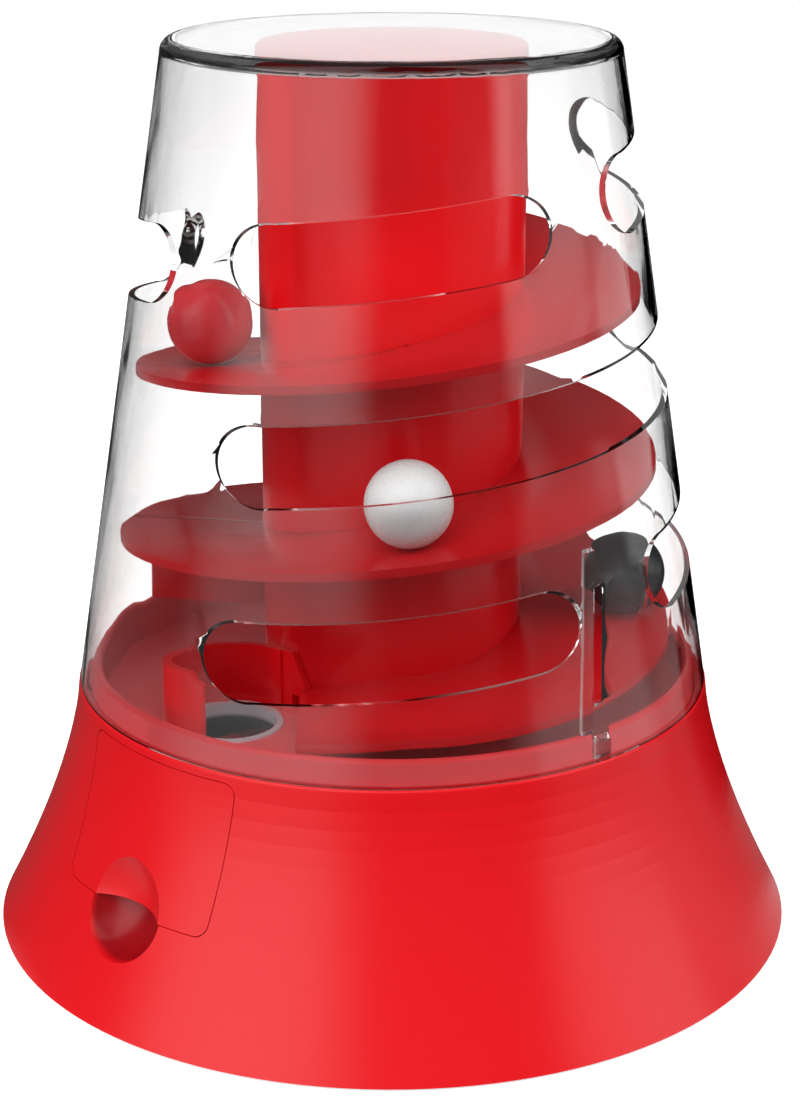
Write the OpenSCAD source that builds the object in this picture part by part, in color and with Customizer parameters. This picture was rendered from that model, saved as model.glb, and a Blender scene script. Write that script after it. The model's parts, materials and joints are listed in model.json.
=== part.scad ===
// Cat ball track toy: a flared base, a column with a spiral ball track in three
// flights, a clear cover with paw slots, and a drawer that catches the balls.
// Millimetres. The origin is on the floor under the column, +Z is up and -Y is
// the front. Azimuths are in degrees from the front, positive to the right.

/* [Base skirt] */
// Radius of the skirt at its foot
foot_r = 125; // [118:1:134]
// Radius of the skirt at its shoulder, where the cover sits
neck_r = 97.4; // [95:0.2:100]
// Height of the shoulder above the floor
shoulder_z = 78; // [74:1:84]
// Power of the flare between shoulder and foot
flare_power = 1.5; // [1.2:0.1:2]
// Thickness of the skirt's wall
skirt_wall = 3; // [2.4:0.2:4]
// Rounding of the shoulder's outer edge
shoulder_round = 1; // [0.6:0.2:1.6]
// Thickness of the ledge that carries the deck
ledge_t = 2.8; // [2:0.2:4]
// How far the ledge reaches in under the deck
ledge_reach = 6; // [4:0.5:8]

/* [Deck and collar] */
// Height of the deck's upper surface
deck_z = 73; // [71:0.5:74]
// Thickness of the deck's floor
deck_t = 2.5; // [2:0.5:4]
// How far the collar stands above the shoulder
collar_h = 6.8; // [5:0.2:9]
// Thickness of the collar's wall at the shoulder
collar_wall = 4.1; // [3:0.1:5]
// Diameter of the deck's screw posts
post_d = 9; // [8:0.5:12]
// Distance of the screw posts from the axis
post_reach = 80; // [74:1:82]

/* [Clear cover] */
// Height of the cover
cover_h = 194; // [188:1:204]
// Outer radius of the cover at its top
cover_top_r = 66.9; // [66:0.1:70]
// Thickness of the cover's wall and top
cover_wall = 2.5; // [2:0.1:3]
// Rounding of the cover's top edge
cover_round = 4; // [3:0.5:6]
// Height of a paw slot
paw_h = 22.5; // [18:0.5:24]
// Height of the paw slots' centre line where it passes over the track's foot
paw_z = 107.5; // [106:0.5:109]
// Rise of the paw slots' centre line in one turn
paw_lead = 54; // [52:0.5:56]

/* [Track] */
// Rise of the track in one turn
track_lead = 51.8; // [50:0.2:54]
// Turns of the track
track_turns = 2.64; // [2.4:0.02:2.7]
// Height of the track's foot above the deck
track_foot = 6.4; // [5:0.2:8]
// Thickness of the track
track_t = 2.6; // [2.2:0.2:4]
// Gap between the track's edge and the cover at the top of the track
track_gap_top = 1.5; // [0.8:0.1:2]
// Gap between the track's edge and the cover at the foot of the track
track_gap_foot = 5.9; // [5:0.1:8]
// Depth of the flange below each joint of the track
flange_depth = 24; // [16:0.5:24]
// Thickness of each flange
flange_t = 2; // [1.6:0.2:3]

/* [Column] */
// Radius of the column
column_r = 39.5; // [36:0.5:41]
// Thickness of the column's wall
column_wall = 2.5; // [2:0.25:3.5]
// Thickness of the column's cap
cap_t = 3; // [2:0.5:5]

/* [Drop hole] */
// Distance of the drop hole's centre from the column
drop_offset = 20.5; // [20.5:0.5:22.5]
// Inner diameter of the ring that lines the drop hole
drop_d = 28; // [27:0.5:29]
// Width of the ring's flange on the deck
ring_flange = 2; // [1.4:0.2:2.4]
// Height of the guide wall above the deck at its front
hood_h = 22.4; // [16:0.2:24]
// Thickness of the guide wall
hood_wall = 2.4; // [2:0.2:3]

/* [Drawer] */
// Width of the drawer's front panel
panel_w = 61.4; // [58:0.2:64]
// Height of the panel's bottom edge above the floor
panel_z = 31.8; // [30:0.2:34]
// Distance from the shoulder down to the panel's top edge
panel_drop = 2.6; // [2.2:0.2:4]
// Thickness of the panel
panel_t = 2; // [1.6:0.1:2.2]
// Rounding of the panel's corners
panel_round = 4; // [2:0.5:8]
// Width of the tray
tray_w = 52; // [44:1:54]
// Length of the tray
tray_l = 58; // [54:1:60]
// Height of the tray
tray_h = 26; // [22:1:27]
// Thickness of the tray's walls
tray_wall = 2; // [1.6:0.2:2.6]
// Diameter of the finger cup at the skirt's surface
cup_d = 30; // [24:0.2:32]

/* [Balls] */
// Diameter of a ball
ball_d = 25; // [20:0.5:26]

/* [Hidden] */
$fn = 96;

// Colours of the finishes
red = [0.87, 0.09, 0.12];
clear = [0.9, 0.95, 1, 0.25];
smoke = [0.5, 0.55, 0.6, 0.7];
black = [0.12, 0.12, 0.13];
white = [0.93, 0.92, 0.9];
ball_crimson = [0.62, 0.07, 0.1];
steel = [0.7, 0.7, 0.72];

// Running and seating clearances
seat_gap = 0.3;
slide_gap = 0.5;
screw_gap = 0.1;
hair_gap = 0.1;
// Overrun of every cut past the surface that it cuts
over = 1;

// Profile points of the skirt between foot and shoulder
profile_steps = 14;
// The cover sits this far inside the skirt's shoulder edge
cover_inset = 0.35;
// Gap between the collar and the cover over it
collar_gap = 0.6;
collar_round = 0.8;

// Feet and bottom plate
foot_h = 2.4;
foot_pad_d = 16;
foot_peg_d = 5;
foot_peg_h = 4;
foot_reach_share = 0.8;
foot_count = 4;
plate_t = 2.5;
foot_clear = 0.8;
plate_ledge_t = 2.4;
plate_ledge_w = 6;

// Screws
screw_d = 3;
screw_head_d = 6;
screw_head_h = 2;
plate_screw_l = 14;
small_screw_l = 9;
column_boss_d = 8;
column_boss_h = 16;
column_screw_count = 3;
column_screw_az = 30;

// Column
cap_round = 1.6;
cap_plug_h = 6;
top_gap = 0.8;
spigot_h = 3;

// Track
end_lead_deg = 12.5;
track_step = 5;
joint_gap_deg = 0.1;
flange_inset = 6;
tab_w = 5;
tab_t = 1.6;
tab_reach = 1.9;
tab_root = 1.5;
tab_play = 0.3;
// Shares of the track's length at which one flight ends and the next starts
joint_shares = [0, 0.379, 0.684, 1];
tab_shares = [0.12, 0.5, 0.88];

// Paw slots: direction of the opening, full turns above the track's foot in degrees, and
// the azimuths of its two ends from that direction. The front and right ones of the second turn
// run into each other.
slot_half = 35;
slot_join = 46;
slot_steps = 8;
paw_slots_deg = [
    [0, 0, -slot_half, slot_half],
    [90, 0, -slot_half, slot_half],
    [180, 0, -slot_half, slot_half],
    [0, 360, -slot_half, slot_join],
    [90, 360, -slot_join, slot_half],
    [180, 360, -slot_half, slot_half],
    [270, 360, -slot_half, slot_half],
    [0, 720, -slot_half, slot_half],
    [90, 720, -slot_half, slot_half]
];

// Key, rib and slit of the cover, to the right of the lowest front slot's end
key_gap = 6.8;
notch_w = 5.2;
notch_drop = 0.6;
key_play = 0.3;
key_reach = 3.2;
key_h = 5;
rib_gap = 2.1;
rib_w = 3.1;
rib_t = 2.2;
rib_z = 86;
rib_h = 51;
slit_gap = 5.5;
slit_w = 2.8;
slit_z = 94;
slit_h = 33.5;

// Drop hole and its guide wall
drop_az = -54;
ring_wall = 1;
ring_lip = 0.6;
ring_h = 6;
hood_gap = 1;
hood_wrap_az = -31;
hood_back_az = -66;
hood_crest_y = -52;
hood_tilt = 6.3;
hood_end_deg = 250;
hood_root_deg = 30;
hood_slope_run = 12;
hood_end_drop = 8;
hood_end_run = 9;
window_w = 3;
window_h = 4;
window_z = 2.5;
window_az = -44;

// Drawer
drawer_az = -45;
frame_t = 5.4;
frame_margin = 5;
rebate_gap = 0.2;
panel_gap = 0.3;
tray_lift = 2.4;
tray_round = 6;
tray_front_gap = 1.6;
ear_w = 3;
ear_t = 3;
ear_h = 12;
cup_depth = 10.5;
cup_lip_depth = 5.5;
cup_wall = 2;
rail_t = 2.4;
rail_guide_h = 5;
rail_inset = 5;
panel_boss_d = 8;
panel_boss_reach = 15;
panel_boss_z_share = 0.45;

// Balls: azimuth, and full turns above the track's foot in degrees
red_deg = [-73, 360];
white_deg = [4, 360];
black_deg = [85, 0];
// How far out each ball runs, as a share of the track's free width
red_out_share = 0.28;
white_out_share = 0.78;
black_out_share = 0.89;
ball_clear = 0.3;

// Heights that follow from the sizes above
plate_z = foot_h;
plate_top = plate_z + plate_t;
ledge_top = deck_z - deck_t;
cover_top_z = shoulder_z + cover_h;
cover_foot_r = neck_r - cover_inset;
column_top = cover_top_z - cover_wall - top_gap;
panel_top = shoulder_z - panel_drop;
tray_z = panel_z + tray_lift;

// Radius of the skirt's outside, the cover's outside and the cover's inside at a height
function skirt_r(z) = neck_r + (foot_r - neck_r) * pow(max(0, 1 - z / shoulder_z), flare_power);
function cover_r(z) = cover_foot_r + (cover_top_r - cover_foot_r) * (z - shoulder_z) / cover_h;
function cover_in(z) = cover_r(z) - cover_wall;

collar_out = cover_in(shoulder_z) - collar_gap;
collar_in = collar_out - collar_wall;
bore_r = collar_out + seat_gap;

// The track is measured in degrees up from its foot, and so are the paw slots
track_deg = track_turns * 360;
foot_az = drop_az + end_lead_deg;
function track_z(s) = deck_z + track_foot + track_lead * s / 360;
function track_r(s) = cover_in(track_z(s))
    - (track_gap_foot + (track_gap_top - track_gap_foot) * s / track_deg);
function track_s(az, turned) = (az - foot_az + 360) % 360 + turned;
function slot_z(s) = paw_z + paw_lead * s / 360;

// Distance from the axis, towards the front, of a circle's point that far to its side
function chord(r, x) = sqrt(r * r - x * x);

// Distances to the right of the axis: the lowest front slot's end, and what stands by it
slot_end_x = cover_r(slot_z(track_s(slot_half, 0))) * sin(slot_half);
rib_x = slot_end_x + rib_gap;
slit_x = slot_end_x + slit_gap;
key_x = slot_end_x + key_gap;

drop_reach = column_r + drop_offset;
drop_x = drop_reach * sin(drop_az);
drop_y = -drop_reach * cos(drop_az);
ring_out_r = drop_d / 2 + ring_flange;
ring_bore_r = drop_d / 2 + ring_wall + screw_gap;
hood_in_r = ring_out_r + hood_gap;
hood_out_r = hood_in_r + hood_wall;
wrap_in_r = column_r + 2 * screw_gap;
wrap_out_r = wrap_in_r + hood_wall;

// Points of the arc of a corner's rounding
function arc_points(x, y, r, from, to, steps) =
    [for (i = [0:steps]) [x + r * cos(from + (to - from) * i / steps),
                          y + r * sin(from + (to - from) * i / steps)]];

// Points up or down the skirt's outside, moved in by a depth
function skirt_points(z0, z1, depth) =
    [for (i = [0:profile_steps]) let (z = z0 + (z1 - z0) * i / profile_steps)
        [skirt_r(z) - depth, z]];

// Turn something that faces the front to an azimuth
module facing(az) {
    rotate([0, 0, az])
        children();
}

// Extrude a flat shape, drawn as seen from outside, along an azimuth
module radial_prism(az, from_r, to_r) {
    facing(az)
        translate([0, -from_r, 0])
            rotate([90, 0, 0])
                linear_extrude(height = to_r - from_r)
                    children();
}

// Wedge of the plan between two azimuths, for cutting
module sector(az0, az1, r) {
    polygon([[0, 0],
        for (i = [0:6]) let (a = az0 + (az1 - az0) * i / 6) [r * sin(a), -r * cos(a)]]);
}

// Rectangle with round corners, standing on its lower edge
module rounded_outline(w, z0, z1, r) {
    for (x = [-1, 1], z = [z0 + r, z1 - r])
        translate([x * (w / 2 - r), z])
            circle(r);
    translate([-w / 2, z0 + r])
        square([w, z1 - z0 - 2 * r]);
    translate([-w / 2 + r, z0])
        square([w - 2 * r, z1 - z0]);
}

// Screw with its head at the bottom and its tip up
module screw(length) {
    cylinder(d = screw_head_d, h = screw_head_h);
    cylinder(d = screw_d, h = screw_head_h + length);
}

// Band of the skirt's outside, of a thickness, between two heights
module skirt_band(z0, z1, outer_depth, inner_depth) {
    rotate_extrude()
        polygon(concat(skirt_points(z0, z1, outer_depth), skirt_points(z1, z0, inner_depth)));
}

// Axis of the finger cup: square to the skirt at the panel's bottom edge
cup_slope = atan((skirt_r(panel_z - over) - skirt_r(panel_z + over)) / (2 * over));
function cup_sphere_r(depth) = (pow(cup_d / 2, 2) + pow(depth, 2)) / (2 * depth);

// Ball-shaped scoop of the finger cup, grown by a wall
module cup_ball(depth, grow) {
    sphere_r = cup_sphere_r(depth);
    facing(drawer_az)
        translate([0, -skirt_r(panel_z), panel_z])
            rotate([-cup_slope, 0, 0])
                translate([0, -(sphere_r - depth), 0])
                    sphere(r = sphere_r + grow);
}

// Space above or below the panel's bottom edge round the finger cup
module cup_side(above) {
    facing(drawer_az)
        translate([-cup_d, -foot_r - cup_d, above ? panel_z + panel_gap : panel_z - 2 * cup_d])
            cube([2 * cup_d, foot_r, 2 * cup_d]);
}

module base_skirt() {
    mouth_top = tray_z + tray_h + slide_gap;
    color(red)
        difference() {
            union() {
                skirt_shell();
                intersection() {
                    skirt_band(panel_z - 2 * frame_margin, ledge_top, skirt_wall / 2, frame_t);
                    radial_prism(drawer_az, neck_r / 2, foot_r)
                        rounded_outline(panel_w + 2 * frame_margin, panel_z - frame_margin,
                            ledge_top - ledge_t / 2, panel_round);
                }
                intersection() {
                    cup_ball(cup_depth, cup_wall);
                    cup_side(false);
                    skirt_solid();
                }
            }
            intersection() {
                skirt_band(panel_z - over, shoulder_z, -over, panel_t + rebate_gap);
                radial_prism(drawer_az, neck_r / 2, foot_r)
                    rounded_outline(panel_w, panel_z, panel_top, panel_round);
            }
            radial_prism(drawer_az, neck_r / 2, foot_r)
                rounded_outline(tray_w + 2 * slide_gap, tray_z - slide_gap, mouth_top, 2 * slide_gap);
            intersection() {
                cup_ball(cup_depth, 0);
                cup_side(false);
            }
            intersection() {
                cup_ball(cup_lip_depth, cup_wall + panel_gap);
                facing(drawer_az)
                    translate([-cup_d, -foot_r - cup_d, panel_z])
                        cube([2 * cup_d, foot_r, 2 * cup_d]);
            }
        }
}

// The skirt's wall of revolution with the deck's ledge and the plate's ledge
module skirt_shell() {
    top_arc = arc_points(neck_r - shoulder_round, shoulder_z - shoulder_round, shoulder_round, 0, 90, 4);
    rotate_extrude()
        polygon(concat(
            skirt_points(foot_clear, shoulder_z - shoulder_round, 0),
            top_arc,
            [[bore_r, shoulder_z],
             [bore_r, ledge_top],
             [collar_out - ledge_reach, ledge_top],
             [collar_out - ledge_reach, ledge_top - ledge_t]],
            skirt_points(ledge_top - ledge_t, plate_top + plate_ledge_t, skirt_wall),
            [[skirt_r(plate_top) - skirt_wall - plate_ledge_w, plate_top + plate_ledge_t],
             [skirt_r(plate_top) - skirt_wall - plate_ledge_w, plate_top]],
            [[skirt_r(plate_top) - skirt_wall, plate_top],
             [skirt_r(foot_clear) - skirt_wall, foot_clear]]));
}

// Everything inside the skirt's outside
module skirt_solid() {
    rotate_extrude()
        polygon(concat([[0, foot_clear]], skirt_points(foot_clear, ledge_top, skirt_wall / 2),
            [[0, ledge_top]]));
}

module base_plate() {
    color(black)
        difference() {
            translate([0, 0, plate_z])
                cylinder(r = skirt_r(plate_top) - skirt_wall - slide_gap, h = plate_t);
            for (i = [0:foot_count - 1])
                facing(i * 90)
                    translate([0, -post_reach, plate_z - over])
                        cylinder(d = screw_d + 2 * screw_gap, h = plate_t + 2 * over);
            for (i = [0:foot_count - 1])
                facing(45 + i * 90)
                    translate([0, -foot_r * foot_reach_share, plate_z - over])
                        cylinder(d = foot_peg_d + 2 * screw_gap, h = plate_t + 2 * over);
        }
}

module rubber_feet() {
    color(black)
        for (i = [0:foot_count - 1])
            facing(45 + i * 90)
                translate([0, -foot_r * foot_reach_share, 0]) {
                    cylinder(d = foot_pad_d, h = foot_h);
                    cylinder(d = foot_peg_d, h = foot_h + foot_peg_h);
                }
}

module plate_screws() {
    color(steel)
        for (i = [0:foot_count - 1])
            facing(i * 90)
                translate([0, -post_reach, plate_z - screw_head_h])
                    screw(plate_screw_l);
}

module deck_tray() {
    collar_top = shoulder_z + collar_h;
    lean = cover_in(collar_top) - cover_in(shoulder_z);
    color(red)
        difference() {
            union() {
                rotate_extrude()
                    polygon(concat(
                        [[0, ledge_top], [collar_out, ledge_top], [collar_out, shoulder_z]],
                        [[collar_out + lean, collar_top - collar_round],
                         [collar_out + lean - collar_round, collar_top],
                         [collar_in + collar_round, collar_top],
                         [collar_in, collar_top - collar_round],
                         [collar_in, deck_z]],
                        [[0, deck_z]]));
                translate([0, 0, deck_z - deck_t / 2])
                    cylinder(r = column_r - column_wall - seat_gap, h = deck_t / 2 + spigot_h);
                for (i = [0:foot_count - 1])
                    facing(i * 90)
                        translate([0, -post_reach, plate_top])
                            cylinder(d = post_d, h = deck_z - deck_t / 2 - plate_top);
            }
            translate([drop_x, drop_y, ledge_top - over])
                cylinder(r = ring_bore_r, h = deck_t + 2 * over);
            for (i = [0:foot_count - 1])
                facing(i * 90)
                    translate([0, -post_reach, plate_top - over])
                        cylinder(d = screw_d + 2 * screw_gap, h = plate_screw_l + over);
            for (i = [0:column_screw_count - 1])
                column_screw_place(i)
                    translate([0, 0, ledge_top - over])
                        cylinder(d = screw_d + 2 * screw_gap, h = deck_t + spigot_h + 2 * over);
            radial_prism(0, chord(collar_in, key_x + notch_w) - over, chord(bore_r, key_x - notch_w) + over)
                translate([key_x - notch_w / 2, shoulder_z - notch_drop])
                    square([notch_w, collar_h + notch_drop + over]);
            for (i = [0:column_screw_count - 1])
                column_screw_place(i)
                    translate([0, 0, deck_z])
                        cylinder(d = column_boss_d + 2 * seat_gap, h = spigot_h + over);
        }
}

module column_screw_place(i) {
    facing(column_screw_az + i * 360 / column_screw_count)
        translate([0, -(column_r - column_wall - column_boss_d / 2 + screw_gap), 0])
            children();
}

module drop_ring() {
    color(smoke)
        translate([drop_x, drop_y, 0])
            difference() {
                union() {
                    translate([0, 0, deck_z])
                        cylinder(r = ring_out_r, h = ring_lip);
                    translate([0, 0, deck_z - ring_h])
                        cylinder(d = drop_d + 2 * ring_wall, h = ring_h + ring_lip / 2);
                }
                translate([0, 0, deck_z - ring_h - over])
                    cylinder(d = drop_d, h = ring_h + ring_lip + 2 * over);
            }
}

module hole_hood() {
    slope_az = hood_wrap_az - hood_slope_run / wrap_out_r * 90 / PI;
    end_az = atan2(cos(hood_end_deg), -sin(hood_end_deg));
    color(red)
        difference() {
            translate([0, 0, deck_z])
                linear_extrude(height = hood_h) {
                    difference() {
                        intersection() {
                            translate([drop_x, drop_y])
                                circle(hood_out_r);
                            translate([drop_x, drop_y])
                                rotate(90)
                                    sector(hood_root_deg, hood_end_deg, 2 * hood_out_r);
                        }
                        translate([drop_x, drop_y])
                            circle(hood_in_r);
                        circle(wrap_in_r);
                    }
                    difference() {
                        intersection() {
                            circle(wrap_out_r);
                            sector(hood_back_az, hood_wrap_az, 2 * wrap_out_r);
                        }
                        circle(wrap_in_r);
                        translate([drop_x, drop_y])
                            circle(hood_in_r);
                    }
                }
            radial_prism(slope_az, column_r - over, wrap_out_r + over)
                polygon([[-hood_slope_run / 2, deck_z + hood_h], [hood_slope_run, deck_z - hood_h / 2],
                    [hood_slope_run, deck_z + hood_h + over], [-hood_slope_run / 2, deck_z + hood_h + over]]);
            translate([drop_x, drop_y, 0])
                radial_prism(end_az, hood_in_r / 2, hood_out_r + over)
                    polygon([[-hood_end_run / 2, deck_z + hood_h],
                        [hood_end_run / 2, deck_z + hood_h - hood_end_drop],
                        [hood_end_run, deck_z + hood_h - hood_end_drop],
                        [hood_end_run, deck_z + hood_h + over],
                        [-hood_end_run / 2, deck_z + hood_h + over]]);
            radial_prism(window_az, column_r - over, wrap_out_r + over)
                translate([-window_w / 2, deck_z + window_z])
                    square([window_w, window_h]);
            translate([0, hood_crest_y, deck_z + hood_h])
                rotate([-hood_tilt, 0, 0])
                    translate([-foot_r, -foot_r, 0])
                        cube([2 * foot_r, 2 * foot_r, hood_h]);
        }
}

module column_tube() {
    tube_h = column_top - cap_t - deck_z;
    color(red)
        difference() {
            union() {
                translate([0, 0, deck_z])
                    difference() {
                        cylinder(r = column_r, h = tube_h);
                        translate([0, 0, -over])
                            cylinder(r = column_r - column_wall, h = tube_h + 2 * over);
                    }
                for (i = [0:column_screw_count - 1])
                    column_screw_place(i)
                        translate([0, 0, deck_z])
                            cylinder(d = column_boss_d, h = column_boss_h);
            }
            for (i = [0:column_screw_count - 1])
                column_screw_place(i)
                    translate([0, 0, deck_z - over])
                        cylinder(d = screw_d + 2 * screw_gap, h = small_screw_l + 2 * over);
            for (flight = [0:2], share = tab_shares)
                track_tab(tab_s(flight, share), tab_play);
        }
}

module column_cap() {
    plug_r = column_r - column_wall - screw_gap;
    color(red)
        rotate_extrude()
            polygon(concat(
                [[0, column_top - cap_t - cap_plug_h], [plug_r, column_top - cap_t - cap_plug_h],
                 [plug_r, column_top - cap_t], [column_r, column_top - cap_t]],
                arc_points(column_r - cap_round, column_top - cap_round, cap_round, 0, 90, 5),
                [[0, column_top]]));
}

module column_screws() {
    color(steel)
        for (i = [0:column_screw_count - 1])
            column_screw_place(i)
                translate([0, 0, ledge_top - screw_head_h])
                    screw(deck_t + small_screw_l);
}

function joint_s(i) = track_deg * (1 - joint_shares[i]);
function tab_s(flight, share) = joint_s(flight) + (joint_s(flight + 1) - joint_s(flight)) * share;

// Tab that fixes a flight to the column, grown by a play for its slot
module track_tab(s, play) {
    facing(foot_az + s)
        translate([-tab_w / 2 - play, -column_r - tab_root,
                   track_z(s) - track_t / 2 - tab_t / 2 - play])
            cube([tab_w + 2 * play, tab_root + column_wall + tab_reach, tab_t + 2 * play]);
}

// One flight of the track from a higher to a lower place, as rings of four points
module flight_sweep(s_high, s_low) {
    steps = ceil((s_high - s_low) / track_step);
    inner_r = column_r + hair_gap;
    points = [for (i = [0:steps]) let (s = s_high + (s_low - s_high) * i / steps,
            a = foot_az + s, top = track_z(s), low = top - track_t, r = track_r(s))
        each [[inner_r * sin(a), -inner_r * cos(a), low], [r * sin(a), -r * cos(a), low],
              [r * sin(a), -r * cos(a), top], [inner_r * sin(a), -inner_r * cos(a), top]]];
    sides = [for (i = [0:steps - 1], j = [0:3]) let (k = (j + 1) % 4)
        each [[4 * i + j, 4 * i + 4 + j, 4 * i + k], [4 * i + k, 4 * i + 4 + j, 4 * i + 4 + k]]];
    ends = [[0, 1, 2], [0, 2, 3], [4 * steps, 4 * steps + 2, 4 * steps + 1],
            [4 * steps, 4 * steps + 3, 4 * steps + 2]];
    polyhedron(points, concat(sides, ends));
}

// Flange that hangs from a flight at its end, on the uphill or the downhill side of a
// joint. It ends above the deck.
module joint_flange(s, uphill) {
    top = track_z(s) - track_t / 2;
    low = max(top - track_t / 2 - flange_depth, deck_z + hair_gap);
    facing(foot_az + s)
        translate([uphill ? hair_gap / 2 : -flange_t - hair_gap / 2, -track_r(s) + flange_inset, low])
            cube([flange_t, track_r(s) - flange_inset - column_r - hair_gap - seat_gap, top - low]);
}

module flight(i) {
    s_high = joint_s(i) - (i > 0 ? joint_gap_deg / 2 : 0);
    s_low = joint_s(i + 1) + (i < 2 ? joint_gap_deg / 2 : 0);
    color(red)
        difference() {
            union() {
                flight_sweep(s_high, s_low);
                for (share = tab_shares)
                    track_tab(tab_s(i, share), 0);
                if (i > 0)
                    joint_flange(joint_s(i), false);
                joint_flange(joint_s(i + 1), true);
            }
            if (i == 2) {
                translate([drop_x, drop_y, 0])
                    cylinder(r = ring_out_r + seat_gap, h = 2 * deck_z);
                linear_extrude(height = deck_z + hood_h)
                    intersection() {
                        circle(wrap_out_r + seat_gap);
                        sector(hood_back_az, hood_wrap_az + seat_gap, 2 * wrap_out_r);
                    }
            }
        }
}

module track_upper() { flight(0); }

module track_middle() { flight(1); }

module track_lower() { flight(2); }

// The rails stand on the bottom plate, carry the tray and guide its sides
module drawer_rail(side) {
    rail_l = tray_l - 2 * rail_inset;
    color(red)
        facing(drawer_az)
            translate([0, -tray_front() + rail_inset, 0])
                mirror([side < 0 ? 1 : 0, 0, 0]) {
                    translate([tray_w / 2 - rail_inset, 0, plate_top])
                        cube([rail_t, rail_l, tray_z - seat_gap - plate_top]);
                    translate([tray_w / 2 - rail_inset, 0, tray_z - seat_gap - rail_t])
                        cube([rail_inset + slide_gap + rail_t, rail_l, rail_t]);
                    translate([tray_w / 2 + slide_gap, 0, tray_z - seat_gap - rail_t])
                        cube([rail_t, rail_l, rail_t + rail_guide_h]);
                }
}

module drawer_rail_left() { drawer_rail(-1); }

module drawer_rail_right() { drawer_rail(1); }

// Distance of the tray's front from the axis: behind the panel where it is nearest
function tray_front() = sqrt(pow(skirt_r(panel_top) - panel_t, 2) - pow(tray_w / 2, 2)) - tray_front_gap;

module drawer_front() {
    boss_z = tray_z + tray_h * panel_boss_z_share;
    color(red)
        difference() {
            union() {
                intersection() {
                    skirt_band(panel_z - over, shoulder_z, 0, panel_t);
                    radial_prism(drawer_az, neck_r / 2, foot_r)
                        rounded_outline(panel_w - 2 * panel_gap, panel_z + panel_gap,
                            panel_top - panel_gap, panel_round - panel_gap);
                }
                intersection() {
                    cup_ball(cup_lip_depth, cup_wall);
                    cup_side(true);
                    skirt_solid();
                }
                intersection() {
                    for (side = [-1, 1])
                        radial_prism(drawer_az, tray_front() + hair_gap, foot_r)
                            translate([side * panel_boss_reach, boss_z])
                                circle(d = panel_boss_d);
                    skirt_solid();
                }
            }
            cup_ball(cup_lip_depth, 0);
            for (side = [-1, 1])
                radial_prism(drawer_az, tray_front() - over, tray_front() + small_screw_l)
                    translate([side * panel_boss_reach, boss_z])
                        circle(d = screw_d + 2 * screw_gap);
        }
}

module drawer_tray() {
    boss_z = tray_z + tray_h * panel_boss_z_share;
    color(red)
        difference() {
            union() {
                facing(drawer_az)
                    translate([0, -tray_front(), tray_z])
                        linear_extrude(height = tray_h)
                            tray_plan(0);
                facing(drawer_az)
                    for (side = [-1, 1])
                        mirror([side < 0 ? 1 : 0, 0, 0])
                            translate([(tray_w - tray_wall) / 2, -tray_front() + tray_l - tray_round - ear_t,
                                       tray_z + tray_h - ear_h])
                                cube([ear_w + tray_wall / 2, ear_t, ear_h - tray_wall]);
            }
            facing(drawer_az)
                translate([0, -tray_front(), tray_z + tray_wall])
                    linear_extrude(height = tray_h)
                        tray_plan(tray_wall);
            for (side = [-1, 1])
                radial_prism(drawer_az, tray_front() - tray_wall - over, tray_front() + over)
                    translate([side * panel_boss_reach, boss_z])
                        circle(d = screw_d + 2 * screw_gap);
        }
}

// Plan of the tray, drawn in by a wall, with its front edge at zero
module tray_plan(inset) {
    r = tray_round - inset;
    for (x = [-1, 1])
        translate([x * (tray_w / 2 - tray_round), tray_l - tray_round])
            circle(r);
    translate([-tray_w / 2 + inset, inset])
        square([tray_w - 2 * inset, tray_l - tray_round - inset]);
    translate([-tray_w / 2 + tray_round, inset])
        square([tray_w - 2 * tray_round, tray_l - 2 * inset]);
}

module drawer_screws() {
    boss_z = tray_z + tray_h * panel_boss_z_share;
    color(steel)
        for (side = [-1, 1])
            facing(drawer_az)
                translate([side * panel_boss_reach, -tray_front() + tray_wall + screw_head_h, boss_z])
                    rotate([90, 0, 0])
                        screw(small_screw_l);
}

// Points of a slot's edge above or below its centre line, from one azimuth to another,
// both measured from the slot's direction at a place along the track
function slot_edge(mid_s, from, to, rise) =
    [for (i = [0:slot_steps]) let (a = from + (to - from) * i / slot_steps, z = slot_z(mid_s + a) + rise)
        [cover_r(z) * sin(a), z]];

// One paw slot, cut straight out along its direction. An end that runs into the next
// slot is square, the others are round.
module paw_slot(slot) {
    mid_s = track_s(slot[0], slot[1]);
    r = cover_r(slot_z(mid_s));
    ends = [for (side = [2, 3]) abs(slot[side]) == slot_join ? slot[side]
        : asin(sin(slot[side]) + (side == 2 ? 1 : -1) * paw_h / (2 * r))];
    radial_prism(slot[0], column_r, foot_r) {
        for (side = [0, 1])
            if (ends[side] != slot[side + 2])
                translate([cover_r(slot_z(mid_s + ends[side])) * sin(ends[side]),
                           slot_z(mid_s + ends[side])])
                    circle(paw_h / 2);
        polygon(concat(slot_edge(mid_s, ends[0], ends[1], -paw_h / 2),
            slot_edge(mid_s, ends[1], ends[0], paw_h / 2)));
    }
}

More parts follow.
